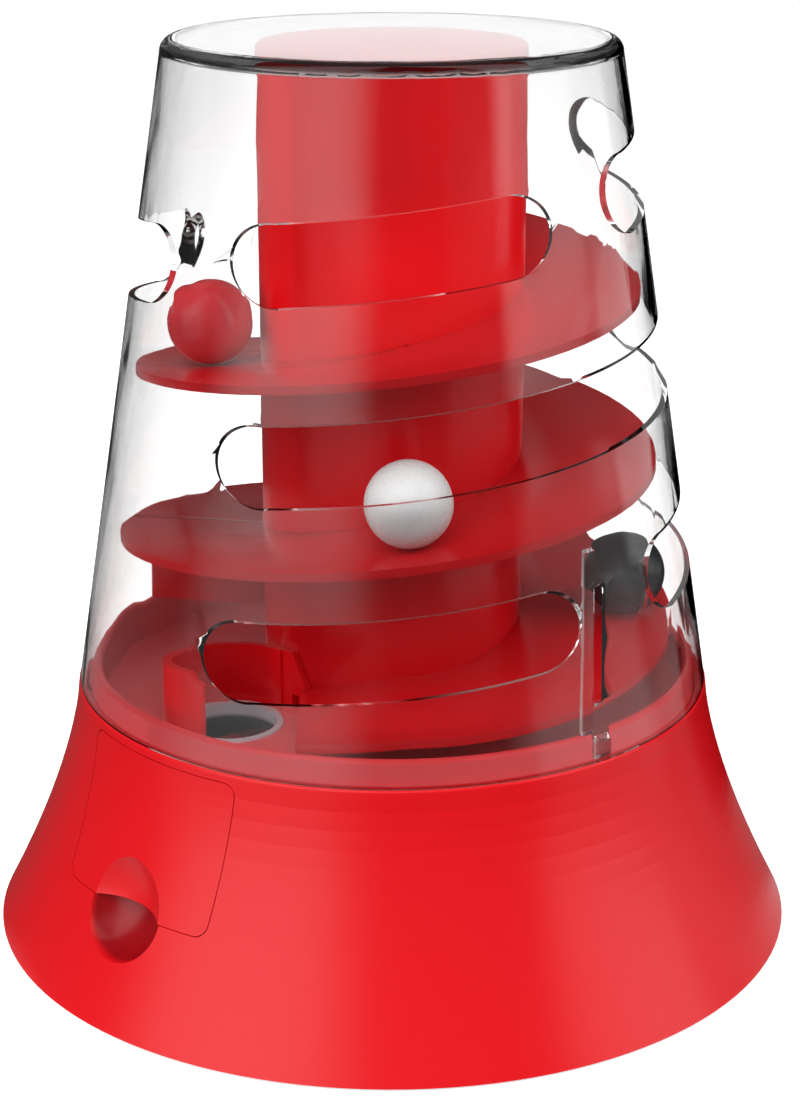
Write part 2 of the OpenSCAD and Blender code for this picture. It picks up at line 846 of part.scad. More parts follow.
module clear_cover() {
    inner_round = cover_round - cover_wall / 2;
    color(clear)
        difference() {
            union() {
                rotate_extrude()
                    polygon(concat(
                        [[cover_foot_r, shoulder_z]],
                        arc_points(cover_top_r - cover_round, cover_top_z - cover_round, cover_round, 0, 90, 8),
                        [[0, cover_top_z], [0, cover_top_z - cover_wall]],
                        arc_points(cover_in(cover_top_z) - inner_round,
                            cover_top_z - cover_wall - inner_round, inner_round, 90, 0, 6),
                        [[cover_in(shoulder_z), shoulder_z]]));
                intersection() {
                    radial_prism(0, over, foot_r)
                        translate([rib_x - rib_w / 2, rib_z])
                            square([rib_w, rib_h]);
                    cover_layer(rib_t, cover_wall / 2);
                }
                intersection() {
                    radial_prism(0, over, foot_r)
                        translate([key_x - notch_w / 2 + key_play, shoulder_z])
                            square([notch_w - 2 * key_play, key_h]);
                    cover_layer(key_reach, cover_wall / 2);
                }
            }
            for (slot = paw_slots_deg)
                paw_slot(slot);
            radial_prism(0, over, foot_r)
                translate([slit_x, slit_z])
                    slit_outline();
        }
}

// Layer of the cover's cone from a depth inside its inner wall to a depth in its wall
module cover_layer(inside, sunk) {
    rotate_extrude()
        polygon([[cover_in(shoulder_z) - inside, shoulder_z], [cover_in(shoulder_z) + sunk, shoulder_z],
            [cover_in(cover_top_z) + sunk, cover_top_z], [cover_in(cover_top_z) - inside, cover_top_z]]);
}

module slit_outline() {
    for (z = [slit_w / 2, slit_h - slit_w / 2])
        translate([0, z])
            circle(slit_w / 2);
    translate([-slit_w / 2, slit_w / 2])
        square([slit_w, slit_h - slit_w]);
}

// A ball on the track, just clear of its surface
module ball(place, out_share) {
    s = track_s(place[0], place[1]);
    reach = column_r + ball_d / 2 + out_share * (track_r(s) - column_r - ball_d);
    slope = atan(track_lead / (2 * PI * reach));
    facing(place[0])
        translate([0, -reach, track_z(s) + (ball_d / 2 + ball_clear) / cos(slope)])
            sphere(d = ball_d);
}

module ball_red() {
    color(ball_crimson)
        ball(red_deg, red_out_share);
}

module ball_white() {
    color(white)
        ball(white_deg, white_out_share);
}

module ball_black() {
    color(black)
        ball(black_deg, black_out_share);
}

base_skirt();
base_plate();
rubber_feet();
plate_screws();
deck_tray();
drop_ring();
hole_hood();
column_tube();
column_cap();
column_screws();
track_upper();
track_middle();
track_lower();
drawer_rail_left();
drawer_rail_right();
drawer_front();
drawer_tray();
drawer_screws();
clear_cover();
ball_red();
ball_white();
ball_black();
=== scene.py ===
import json
import logging
import math
from collections.abc import Callable
from dataclasses import dataclass
from enum import Enum

import bpy
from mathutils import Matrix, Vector

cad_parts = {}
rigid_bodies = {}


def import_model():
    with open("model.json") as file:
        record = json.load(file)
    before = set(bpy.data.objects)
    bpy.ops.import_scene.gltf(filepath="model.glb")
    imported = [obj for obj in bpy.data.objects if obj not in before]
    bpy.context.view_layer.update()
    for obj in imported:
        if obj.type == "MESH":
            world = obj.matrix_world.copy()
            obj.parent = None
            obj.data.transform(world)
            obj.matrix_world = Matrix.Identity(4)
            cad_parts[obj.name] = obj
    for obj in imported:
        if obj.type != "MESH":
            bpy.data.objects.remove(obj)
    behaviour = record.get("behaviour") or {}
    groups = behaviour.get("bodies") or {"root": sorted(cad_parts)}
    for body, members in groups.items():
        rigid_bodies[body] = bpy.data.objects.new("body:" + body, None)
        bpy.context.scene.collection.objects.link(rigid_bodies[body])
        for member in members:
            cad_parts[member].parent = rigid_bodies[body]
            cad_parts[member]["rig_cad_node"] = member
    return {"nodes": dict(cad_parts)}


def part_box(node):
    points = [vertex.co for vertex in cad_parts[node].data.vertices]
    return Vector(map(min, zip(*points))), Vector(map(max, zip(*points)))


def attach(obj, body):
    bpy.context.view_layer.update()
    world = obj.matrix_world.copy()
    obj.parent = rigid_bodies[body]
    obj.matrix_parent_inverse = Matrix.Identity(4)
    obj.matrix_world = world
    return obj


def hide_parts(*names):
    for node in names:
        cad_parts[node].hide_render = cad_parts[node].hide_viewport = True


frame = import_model()

LOG = logging.getLogger("ball_track_toy")

Point = tuple[float, float, float]
Colour = tuple[float, float, float, float]
Range = tuple[float, float]
Socket = bpy.types.NodeSocket
Feed = Socket | float | tuple[float, ...]

WHITE: Colour = (1.0, 1.0, 1.0, 1.0)
RED: Colour = (0.75, 0.006, 0.011, 1.0)
# Darker red painted on the flights and low on the column: painted shade
PAINTED_SHADE_RED: Colour = (0.56, 0.005, 0.009, 1.0)
# Keeps a vector's level part
LEVEL: Point = (1.0, 1.0, 0.0)
# Values of noise that a surface's roughness is spread over
NOISE_RANGE: Range = (0.3, 0.7)
# Distance in metres below which a node's loose vertices are joined
JOIN_DISTANCE = 0.00001


class Slot(Enum):
    """Material slots of the record."""

    RED = "red_plastic"
    BLACK = "black_plastic"
    FOOT = "foot_rubber"
    STEEL = "screw_steel"
    SMOKE = "smoke_plastic"
    CLEAR = "clear_plastic"
    BALL_RED = "ball_red_plastic"
    BALL_WHITE = "ball_white_plastic"
    BALL_BLACK = "ball_black_plastic"


class Body(Enum):
    """Rigid bodies of the frame."""

    BASE = "base"
    DRAWER = "drawer"
    COVER = "cover"
    BALL_RED = "ball_red"
    BALL_WHITE = "ball_white"
    BALL_BLACK = "ball_black"


class NodeSheet:
    """Node tree of one material, with short ways to add and link nodes."""

    def __init__(self, name: str, owner: bpy.types.World | None = None) -> None:
        """Make an empty material, or empty a world's nodes.

        Args:
            name: Name of the material.
            owner: World to write to in place of a new material.
        """
        self.material = owner or bpy.data.materials.new(name)
        self.material.use_nodes = True
        self.tree = self.material.node_tree
        self.tree.nodes.clear()
        self.coordinates = self.tree.nodes.new("ShaderNodeTexCoord")
        self.place = self.coordinates.outputs["Object"]
        self.normal = self.coordinates.outputs["Normal"]

    def add(self, kind: str, **values: object) -> bpy.types.Node:
        """Add a node and set its attributes.

        Args:
            kind: Type name of the node without its common start.
            **values: Attributes of the node.

        Returns:
            The new node.
        """
        node = self.tree.nodes.new("ShaderNode" + kind)
        for key, value in values.items():
            setattr(node, key, value)
        return node

    def link(self, out_socket: Socket, in_socket: Socket) -> None:
        """Join two sockets.

        Args:
            out_socket: Socket that gives the value.
            in_socket: Socket that takes it.
        """
        self.tree.links.new(out_socket, in_socket)

    def feed(self, value: Feed, socket: Socket) -> None:
        """Link a socket to another one, or set it to a number, place or colour.

        Args:
            value: What the socket gets.
            socket: Socket that takes it.
        """
        if isinstance(value, Socket):
            self.link(value, socket)
        else:
            socket.default_value = value

    def _operate(self, kind: str, operation: str, values: tuple[Feed, ...]) -> bpy.types.Node:
        """Add a node that works on values.

        Args:
            kind: Type name of the node.
            operation: Name of its operation.
            values: What its inputs get, in order.

        Returns:
            The node.
        """
        node = self.add(kind, operation=operation)
        for value, socket in zip(values, node.inputs):
            self.feed(value, socket)
        return node

    def number(self, operation: str, *values: Feed) -> Socket:
        """Work out a number from numbers.

        Args:
            operation: Name of the operation.
            *values: Numbers that it works on.

        Returns:
            The number.
        """
        return self._operate("Math", operation, values).outputs["Value"]

    def vector(self, operation: str, *values: Feed) -> Socket:
        """Work out a vector from vectors.

        Args:
            operation: Name of the operation.
            *values: Vectors that it works on.

        Returns:
            The vector.
        """
        return self._operate("VectorMath", operation, values).outputs["Vector"]

    def measure(self, operation: str, *values: Feed) -> Socket:
        """Work out a number from vectors.

        Args:
            operation: Name of the operation.
            *values: Vectors that it works on.

        Returns:
            The number.
        """
        return self._operate("VectorMath", operation, values).outputs["Value"]

    def product(self, *values: Feed) -> Socket:
        """Multiply values.

        Args:
            *values: Two values or more.

        Returns:
            The product.
        """
        total = values[0]
        for value in values[1:]:
            total = self.number("MULTIPLY", total, value)
        return total

    def axes(self, vector: Socket) -> tuple[Socket, Socket, Socket]:
        """Split a vector.

        Args:
            vector: Vector to split.

        Returns:
            Its X, Y and Z.
        """
        node = self.add("SeparateXYZ")
        self.link(vector, node.inputs[0])
        return node.outputs["X"], node.outputs["Y"], node.outputs["Z"]

    def outward(self, place: Socket) -> Socket:
        """Find the level direction from the upright axis to a place.

        Args:
            place: Place or direction.

        Returns:
            The direction, one long.
        """
        return self.vector("NORMALIZE", self.vector("MULTIPLY", place, LEVEL))

    def blend(self, share: Feed, one: Feed, other: Feed, kind: str = "RGBA") -> Socket:
        """Mix two colours or numbers.

        Args:
            share: 0 for the one, 1 for the other.
            one: First colour or number.
            other: Second colour or number.
            kind: Data type of what is mixed.

        Returns:
            The mixed colour or number.
        """
        mix = self.add("Mix", data_type=kind)
        self.feed(share, mix.inputs["Factor"])
        self.feed(one, mix.inputs["A"])
        self.feed(other, mix.inputs["B"])
        return mix.outputs["Result"]

    def blend_shaders(self, share: Feed, one: Socket, other: Socket) -> Socket:
        """Mix two shaders.

        Args:
            share: 0 for the one, 1 for the other.
            one: First shader.
            other: Second shader.

        Returns:
            The mixed shader.
        """
        mix = self.add("MixShader")
        for value, socket in zip((share, one, other), mix.inputs):
            self.feed(value, socket)
        return mix.outputs["Shader"]

    def noise(self, scale: float, detail: float, roughness: float = 0.5) -> Socket:
        """Add noise on object coordinates.

        Args:
            scale: Size of the pattern, per metre.
            detail: Number of octaves.
            roughness: Strength of the fine octaves.

        Returns:
            The noise's value.
        """
        node = self.add("TexNoise")
        node.inputs["Scale"].default_value = scale
        node.inputs["Detail"].default_value = detail
        node.inputs["Roughness"].default_value = roughness
        self.link(self.place, node.inputs["Vector"])
        return node.outputs["Fac"]

    def band(self, value: Socket, zero_at: float, one_at: float,
             low: float = 0.0, high: float = 1.0) -> Socket:
        """Map a value softly from one level at one place to another at a second place.

        Args:
            value: Value to map.
            zero_at: Where the low level ends.
            one_at: Where the high level begins.
            low: Low level.
            high: High level.

        Returns:
            The mapped value.
        """
        node = self.add("MapRange", interpolation_type="SMOOTHSTEP")
        self.link(value, node.inputs["Value"])
        node.inputs["From Min"].default_value = zero_at
        node.inputs["From Max"].default_value = one_at
        node.inputs["To Min"].default_value = low
        node.inputs["To Max"].default_value = high
        return node.outputs["Result"]

    def through(self, shader: Socket, colour: Colour, share: Feed) -> Socket:
        """Replace a share of a shader by plain see-through.

        Args:
            shader: Shader of the surface.
            colour: What is left of the light that goes through.
            share: 0 for the shader alone, 1 for see-through alone.

        Returns:
            The mixed shader.
        """
        clear = self.add("BsdfTransparent")
        clear.inputs["Color"].default_value = colour
        return self.blend_shaders(share, shader, clear.outputs["BSDF"])

    def white_glow(self, strength: Feed) -> Socket:
        """Give out white light.

        Args:
            strength: Strength of the light.

        Returns:
            The shader.
        """
        glow = self.add("Emission")
        glow.inputs["Color"].default_value = WHITE
        self.feed(strength, glow.inputs["Strength"])
        return glow.outputs["Emission"]

    def azimuth_band(self, place: Socket, middle: float, half: float, edge: float) -> Socket:
        """Find the directions within some degrees of an azimuth.

        Args:
            place: Place or direction, with the front at -Y.
            middle: Azimuth in the middle, in degrees from the front to the right.
            half: Half the width in degrees.
            edge: Width of the soft edge in degrees.

        Returns:
            1 within the band and 0 outside it.
        """
        turn = math.radians(middle)
        along = self.measure("DOT_PRODUCT", self.outward(place),
                             (math.sin(turn), -math.cos(turn), 0.0))
        return self.band(along, math.cos(math.radians(half + edge)),
                         math.cos(math.radians(half - edge)))

    def mirror_glow(self, place: Socket, bands: list[tuple[float, ...]], dim: float,
                    measure: Socket, ends: Range) -> Socket:
        """Light what glossy faces mirror: bright bands at some azimuths, dim between.

        Args:
            place: Place on the floor or direction in the world.
            bands: Azimuth, half width, soft edge and first and last strength of each band.
            dim: Strength between the bands.
            measure: Value along which the strengths change.
            ends: Where the first strength ends and where the last one begins.

        Returns:
            The strength.
        """
        total = self.add("Value").outputs[0]
        total.default_value = dim
        for middle, half, edge, first, last in bands:
            total = self.number("MULTIPLY_ADD", self.azimuth_band(place, middle, half, edge),
                                self.band(measure, *ends, first, last), total)
        return total

    def span(self, value: Socket, low: float, high: float) -> Socket:
        """Map a value from its middle range to another.

        Args:
            value: Value that runs from about 0.3 to 0.7.
            low: Result at the low end.
            high: Result at the high end.

        Returns:
            The mapped value.
        """
        node = self.add("MapRange")
        node.inputs["From Min"].default_value, node.inputs["From Max"].default_value = NOISE_RANGE
        node.inputs["To Min"].default_value = low
        node.inputs["To Max"].default_value = high
        self.link(value, node.inputs["Value"])
        return node.outputs["Result"]

    def bump(self, height: Socket, strength: float, distance: float) -> Socket:
        """Add a bump.

        Args:
            height: Height pattern.
            strength: Share of the bump.
            distance: Height of the bump in metres.

        Returns:
            The normal.
        """
        node = self.add("Bump")
        node.inputs["Strength"].default_value = strength
        node.inputs["Distance"].default_value = distance
        self.link(height, node.inputs["Height"])
        return node.outputs["Normal"]

    def finish(self, shader: Socket) -> bpy.types.Material:
        """Put the shader on the surface.

        Args:
            shader: Shader of the surface.

        Returns:
            The material.
        """
        output = self.add("OutputMaterial")
        self.link(shader, output.inputs["Surface"])
        return self.material


@dataclass(frozen=True)
class Grain:
    """Fine noise in the roughness and the height of a surface, with sizes in metres."""

    scale: float
    octaves: float
    fineness: float
    smoothest: float
    roughest: float
    share: float
    height: float

    def lay(self, sheet: NodeSheet, shader: bpy.types.Node) -> None:
        """Put the grain on a shader.

        Args:
            sheet: Sheet of the material.
            shader: Shader of the surface.
        """
        fine = sheet.noise(self.scale, self.octaves, self.fineness)
        sheet.link(sheet.span(fine, self.smoothest, self.roughest), shader.inputs["Roughness"])
        sheet.link(sheet.bump(fine, self.share, self.height), shader.inputs["Normal"])


@dataclass(frozen=True)
class PaintedHollowShade:
    """Round hollow whose lower half gets painted shade: a darker colour for the little light that
    comes back out of it.
    """

    middle: Point
    radius: float
    # Colour of the painted shade
    tint: Colour = (0.3, 0.002, 0.005, 1.0)
    full_share: float = 0.93
    edge: float = 0.0004

    def shade(self, sheet: NodeSheet, colour: Socket) -> Socket:
        """Paint shade into the hollow's lower half.

        Args:
            sheet: Sheet of the material.
            colour: Colour outside the hollow.

        Returns:
            The colour with the painted shade.
        """
        away = sheet.measure("DISTANCE", sheet.place, self.middle)
        within = sheet.band(away, self.radius, self.full_share * self.radius)
        _, _, height = sheet.axes(sheet.place)
        below = sheet.band(height, self.middle[2] + self.edge, self.middle[2])
        return sheet.blend(sheet.product(within, below), colour, self.tint)


@dataclass(frozen=True)
class MouldedPlastic:
    """Opaque moulded plastic with a fine grain; where given, a tone painted low down and painted
    shade in a round hollow.
    """

    name: str
    slot: Slot
    colour: Colour
    roughness: float = 0.25
    grain: float = 900.0
    grain_height: float = 0.00002
    # Tone painted low down: painted light on the deck, painted shade on the column and the drop
    # ring
    painted_foot_tone: Colour | None = None
    fade: Range = (0.0, 0.1)
    hollow: PaintedHollowShade | None = None
    vary: float = 0.02
    refraction: float = 1.5

    def make(self) -> bpy.types.Material:
        """Build the material.

        Returns:
            The material.
        """
        sheet = NodeSheet(self.name)
        shader = sheet.add("BsdfPrincipled")
        shader.inputs["IOR"].default_value = self.refraction
        _, _, height = sheet.axes(sheet.place)
        colour = sheet.blend(sheet.band(height, *self.fade), self.painted_foot_tone or self.colour,
                             self.colour)
        # Painted shade in the hollow's lower half
        if self.hollow:
            colour = self.hollow.shade(sheet, colour)
        sheet.link(colour, shader.inputs["Base Color"])
        Grain(self.grain, 3.0, 0.6, self.roughness - self.vary, self.roughness + self.vary,
              0.5, self.grain_height).lay(sheet, shader)
        return sheet.finish(shader.outputs["BSDF"])


@dataclass(frozen=True)
class CutZones:
    """Where the clear cover's cut faces and edges lie, and where its painted highlight and painted
    dark lines go.

    Each range runs from outside the zone to within it: of a place in metres, or of a part of
    the face's normal. A level is the strength of its zone.
    """

    across_wall: Range = (0.6, 0.3)
    below_lid_z: Range = (0.262, 0.258)
    upright: Range = (0.85, 0.6)
    ledge_up: Range = (0.75, 0.9)
    ledge_level: float = 0.45
    ledge_x: Range = (0.005, 0.03)
    ledge_above_z: Range = (0.086, 0.09)
    ledge_below_z: Range = (0.125, 0.12)
    end_to_front: Range = (-0.15, -0.4)
    end_y: Range = (-0.035, -0.045)
    end_x: Range = (0.05, 0.048)
    end_z: Range = (0.236, 0.232)
    rim_z: Range = (0.266, 0.269)
    rim_not_upright: Range = (0.2, 0.4)
    rim_not_flat: Range = (0.97, 0.9)
    rim_y: Range = (0.0, -0.02)
    foot_z: Range = (0.0788, 0.0783)
    foot_level: float = 0.55

    def find(self, sheet: NodeSheet) -> tuple[Socket, Socket]:
        """Find the cut faces.

        Args:
            sheet: Sheet of the material.

        Returns:
            Two values that are 1 on the slots' cut faces that get a painted highlight, and 1 where
            dark lines are painted: slot ends that look to the front, the lid's rim and the cover's
            foot line.
        """
        x, y, z = sheet.axes(sheet.place)
        _, normal_y, normal_z = sheet.axes(sheet.normal)
        steep = sheet.number("ABSOLUTE", normal_z)
        facing = sheet.number("ABSOLUTE", sheet.measure(
            "DOT_PRODUCT", sheet.outward(sheet.place), sheet.normal))
        ledge = sheet.product(sheet.band(normal_z, *self.ledge_up, 0.0, self.ledge_level),
                              sheet.band(x, *self.ledge_x), sheet.band(z, *self.ledge_above_z),
                              sheet.band(z, *self.ledge_below_z))
        cut = sheet.product(sheet.band(facing, *self.across_wall),
                            sheet.band(z, *self.below_lid_z),
                            sheet.number("MAXIMUM", sheet.band(steep, *self.upright), ledge))
        # Slot ends that look to the front, for painted dark lines
        end = sheet.product(cut, sheet.band(normal_y, *self.end_to_front),
                            sheet.band(y, *self.end_y),
                            sheet.band(sheet.number("ABSOLUTE", x), *self.end_x),
                            sheet.band(z, *self.end_z))
        # Painted dark line on the lid's rim
        rim = sheet.product(sheet.band(z, *self.rim_z), sheet.band(steep, *self.rim_not_upright),
                            sheet.band(steep, *self.rim_not_flat), sheet.band(y, *self.rim_y))
        # Painted dark line along the cover's foot
        foot = sheet.band(z, *self.foot_z, 0.0, self.foot_level)
        dark = sheet.number("MAXIMUM", sheet.number("MAXIMUM", end, rim), foot)
        return sheet.number("SUBTRACT", cut, end), dark


@dataclass(frozen=True)
class ClearPlastic:
    """Clear moulded plastic that lets the lamps' light through, with dark lines painted at the
    slots' front ends, the lid's rim and the foot line, and a whitish painted highlight on the
    slots' other cut faces.
    """

    name: str
    slot: Slot
    zones: CutZones = CutZones()
    tint: Colour = (0.99, 0.99, 0.99, 1.0)
    # Painted dark lines at the slots' front ends, the lid's rim and the foot line
    painted_dark_tint: Colour = (0.1, 0.1, 0.1, 1.0)
    # Whitish diffuse on the slots' cut faces: painted highlight
    painted_highlight_tint: Colour = (0.85, 0.83, 0.83, 1.0)
    cut_share: float = 0.9
    cut_through: float = 0.6
    cut_clear: Colour = (0.9, 0.9, 0.9, 1.0)
    deep_clear: Colour = (0.9, 0.9, 0.9, 1.0)
    shade: Colour = WHITE
    roughness: float = 0.02
    cloud: float = 45.0
    deepest: float = 7.5
    refraction: float = 1.49

    def make(self) -> bpy.types.Material:
        """Build the material.

        Returns:
            The material.
        """
        sheet = NodeSheet(self.name)
        shader = sheet.add("BsdfPrincipled")
        shader.inputs["IOR"].default_value = self.refraction
        shader.inputs["Transmission Weight"].default_value = 1.0
        cut, dark = self.zones.find(sheet)
        # Paint the dark lines into the glass's colour
        sheet.link(sheet.blend(dark, self.tint, self.painted_dark_tint), shader.inputs["Base Color"])
        sheet.link(sheet.span(sheet.noise(self.cloud, 3.0), self.roughness * 0.5,
                              self.roughness * 1.5), shader.inputs["Roughness"])
        path = sheet.add("LightPath")
        deep = sheet.number("GREATER_THAN", path.outputs["Ray Depth"], self.deepest)
        wall = sheet.through(shader.outputs["BSDF"], self.deep_clear, deep)
        # Painted highlight: whitish diffuse on the cut faces, partly see-through
        dull = sheet.add("BsdfDiffuse")
        dull.inputs["Color"].default_value = self.painted_highlight_tint
        face = sheet.through(dull.outputs["BSDF"], self.cut_clear, self.cut_through)
        out = sheet.blend_shaders(sheet.product(cut, self.cut_share), wall, face)
        return sheet.finish(sheet.through(out, self.shade, path.outputs["Is Shadow Ray"]))


@dataclass(frozen=True)
class GrainedSolid:
    """Rubber or plated steel with its own grain."""

    name: str
    slot: Slot
    colour: Colour
    grain: Grain
    metallic: float = 0.0

    def make(self) -> bpy.types.Material:
        """Build the material.

        Returns:
            The material.
        """
        sheet = NodeSheet(self.name)
        shader = sheet.add("BsdfPrincipled")
        shader.inputs["Base Color"].default_value = self.colour
        shader.inputs["Metallic"].default_value = self.metallic
        self.grain.lay(sheet, shader)
        return sheet.finish(shader.outputs["BSDF"])


FINISHES = (
    MouldedPlastic("red_gloss", Slot.RED, RED),
    # The skirt's finger cup gets painted shade in its lower half
    MouldedPlastic("skirt_gloss_painted_shade", Slot.RED, RED,
                   hollow=PaintedHollowShade((-0.07777, -0.07777, 0.0318), 0.015)),
    # The column gets painted light and shade: a lighter red at the top and a darker red towards
    # the bottom, where the flights shade it
    MouldedPlastic("column_gloss_painted_light_and_shade", Slot.RED, (0.96, 0.007, 0.012, 1.0),
                   painted_foot_tone=PAINTED_SHADE_RED, fade=(0.13, 0.26)),
    # The deck gets painted light: a lighter, pinker red than the other red parts, pinker still
    # below the collar's top
    MouldedPlastic("deck_gloss_painted_light", Slot.RED, (0.9, 0.06, 0.07, 1.0),
                   painted_foot_tone=(0.85, 0.09, 0.1, 1.0), fade=(0.0838, 0.0843)),
    # The flights get painted shade: a darker red than the other red parts
    MouldedPlastic("ramp_gloss_painted_shade", Slot.RED, PAINTED_SHADE_RED),
    MouldedPlastic("black_grain", Slot.BLACK, (0.02, 0.02, 0.022, 1.0), 0.5, 500.0, 0.0001),
    GrainedSolid("foot_rubber", Slot.FOOT, (0.02, 0.02, 0.02, 1.0),
                 Grain(1500.0, 4.0, 0.7, 0.75, 0.95, 0.8, 0.00008)),
    GrainedSolid("screw_steel", Slot.STEEL, (0.62, 0.62, 0.64, 1.0),
                 Grain(700.0, 4.0, 0.6, 0.28, 0.42, 0.4, 0.00003), 1.0),
    # The drop ring is painted nearly black below its top: painted shade down the drop hole
    MouldedPlastic("smoke_gloss_painted_shade", Slot.SMOKE, (0.6, 0.61, 0.66, 1.0), 0.2,
                   painted_foot_tone=(0.01, 0.008, 0.009, 1.0), fade=(0.0688, 0.0708)),
    ClearPlastic("clear_gloss_painted_rims", Slot.CLEAR),
    MouldedPlastic("ball_crimson", Slot.BALL_RED, (0.6, 0.035, 0.045, 1.0), 0.22, 700.0, 0.00001),
    MouldedPlastic("ball_white", Slot.BALL_WHITE, (0.64, 0.64, 0.64, 1.0), 0.28, 700.0, 0.00001),
    MouldedPlastic("ball_black", Slot.BALL_BLACK, (0.025, 0.027, 0.03, 1.0), 0.3, 700.0, 0.00001),
)


class Finishes:
    """All finishes of the toy, made once."""

    def __init__(self) -> None:
        """Make every material."""
        self._made = {finish.name: finish.make() for finish in FINISHES}
        self._slots = {finish.name: finish.slot for finish in FINISHES}

    def put(self, piece: bpy.types.Object, name: str) -> None:
        """Dress a piece or a node in a finish.

        Args:
            piece: Mesh object.
            name: Name of the finish.
        """
        piece.data.materials.clear()
        piece.data.materials.append(self._made[name])


NODE_FINISH = {
    "base_skirt": "skirt_gloss_painted_shade", "base_plate": "black_grain", "rubber_feet": "foot_rubber",
    "plate_screws": "screw_steel", "deck_tray": "deck_gloss_painted_light", "drop_ring": "smoke_gloss_painted_shade",
    "hole_hood": "red_gloss", "column_tube": "column_gloss_painted_light_and_shade", "column_cap": "column_gloss_painted_light_and_shade",
    "column_screws": "screw_steel", "track_upper": "ramp_gloss_painted_shade", "track_middle": "ramp_gloss_painted_shade",
    "track_lower": "ramp_gloss_painted_shade", "drawer_rail_left": "red_gloss", "drawer_rail_right": "red_gloss",
    "drawer_front": "red_gloss", "drawer_tray": "red_gloss", "drawer_screws": "screw_steel",
    "clear_cover": "clear_gloss_painted_rims", "ball_red": "ball_crimson", "ball_white": "ball_white",
    "ball_black": "ball_black",
}


class Bench:
    """Short ways to model with operators."""

    @staticmethod
    def pick(*pieces: bpy.types.Object) -> None:
        """Select objects alone, in object mode, and make the first the active one.

        Args:
            *pieces: Objects to select.
        """
        if bpy.context.mode != "OBJECT":
            bpy.ops.object.mode_set(mode="OBJECT")
        bpy.ops.object.select_all(action="DESELECT")
        for piece in pieces:
            piece.select_set(True)
        bpy.context.view_layer.objects.active = pieces[0]

    @classmethod
    def copy_node(cls, node: str, name: str) -> bpy.types.Object:
        """Copy a CAD node as a piece with its loose triangles joined.

        Args:
            node: Name of the CAD node.
            name: Name of the new piece.

        Returns:
            The piece, in object mode.
        """
        piece = bpy.data.objects.new(name, frame["nodes"][node].data.copy())
        bpy.context.scene.collection.objects.link(piece)
        cls.pick(piece)
        bpy.ops.object.mode_set(mode="EDIT")
        bpy.ops.mesh.select_all(action="SELECT")
        bpy.ops.mesh.customdata_custom_splitnormals_clear()
        bpy.ops.mesh.remove_doubles(threshold=JOIN_DISTANCE)
        bpy.ops.object.mode_set(mode="OBJECT")
        return piece

    @classmethod
    def pick_vertices(cls, piece: bpy.types.Object, chosen: Callable[[Vector], bool]) -> None:
        """Select a piece's vertices by their place, in edit mode.

        Args:
            piece: Piece to select in.
            chosen: Test of a vertex's place.
        """
        cls.pick(piece)
        bpy.ops.object.mode_set(mode="EDIT")
        bpy.ops.mesh.select_mode(type="VERT")
        bpy.ops.mesh.select_all(action="DESELECT")
        bpy.ops.object.mode_set(mode="OBJECT")
        for vertex in piece.data.vertices:
            vertex.select = chosen(vertex.co)
        bpy.ops.object.mode_set(mode="EDIT")

    @classmethod
    def soften(cls, piece: bpy.types.Object, width: float, segments: int,
               corner: float = 50.0, smooth: float = 35.0) -> None:
        """Round a piece's sharp edges and smooth its faces.

        Args:
            piece: Piece to round.
            width: Width of the rounding in metres.
            segments: Number of faces across it.
            corner: Angle in degrees past which an edge is rounded.
            smooth: Angle in degrees up to which faces shade as one.
        """
        cls.pick(piece)
        rounding = piece.modifiers.new("rounding", "BEVEL")
        rounding.width = width
        rounding.segments = segments
        rounding.limit_method = "ANGLE"
        rounding.angle_limit = math.radians(corner)
        rounding.harden_normals = False
        bpy.ops.object.modifier_apply(modifier=rounding.name)
        bpy.ops.object.shade_smooth_by_angle(angle=math.radians(smooth))


@dataclass
class SpiralTrack:
    """The three flights of the spiral track, with rounded lips.

    The lowest flight's foot lies within some degrees of the front and below a height. It is
    cut off left of a plane, and its front is lifted, less and less up to an azimuth.
    """

    finishes: Finishes
    lip_round: float = 0.0009
    lip_segments: int = 3
    foot_half: float = 60.0
    foot_x: float = -0.027
    foot_top: float = 0.096
    lift: float = 0.018
    most: float = 0.0033
    lift_to: float = 45.0
    lift_step: int = 5
    flights: tuple[str, ...] = ("upper", "middle", "lower")

    def build(self) -> None:
        """Make the flights and let them stand for their nodes."""
        for flight in self.flights:
            node = "track_" + flight
            piece = Bench.copy_node(node, "ramp_" + flight)
            if flight == "lower":
                self._trim_foot(piece)
            Bench.soften(piece, self.lip_round, self.lip_segments)
            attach(piece, Body.BASE.value)
            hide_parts(node)
            self.finishes.put(piece, "ramp_gloss_painted_shade")
            LOG.info("made %s", piece.name)

    def _trim_foot(self, piece: bpy.types.Object) -> None:
        """Cut the lowest flight's foot back, clear of the drop ring, and lift its front.

        Args:
            piece: The lowest flight.
        """
        self._pick_stretch(piece, -self.foot_half, self.lift_to)
        bpy.ops.mesh.bisect(plane_co=(self.foot_x, 0.0, 0.0), plane_no=(1.0, 0.0, 0.0),
                            use_fill=True, clear_inner=True)
        for start in range(int(-self.foot_half), int(self.lift_to), self.lift_step):
            share = (self.lift_to - start) / (self.lift_to + self.foot_half)
            self._pick_stretch(piece, start, start + self.lift_step)
            rise = min(self.most, self.lift * share * share)
            bpy.ops.transform.translate(value=(0.0, 0.0, rise))
            bpy.ops.object.mode_set(mode="OBJECT")

    def _pick_stretch(self, piece: bpy.types.Object, low: float, high: float) -> None:
        """Select the foot's vertices between two azimuths, in edit mode.

        Args:
            piece: The lowest flight.
            low: First azimuth, in degrees from the front to the right.
            high: Azimuth before which the stretch ends.
        """
        def chosen(place: Vector) -> bool:
            turn = math.degrees(math.atan2(place.x, -place.y))
            return abs(turn) < self.foot_half and low <= turn < high and place.z < self.foot_top

        Bench.pick_vertices(piece, chosen)


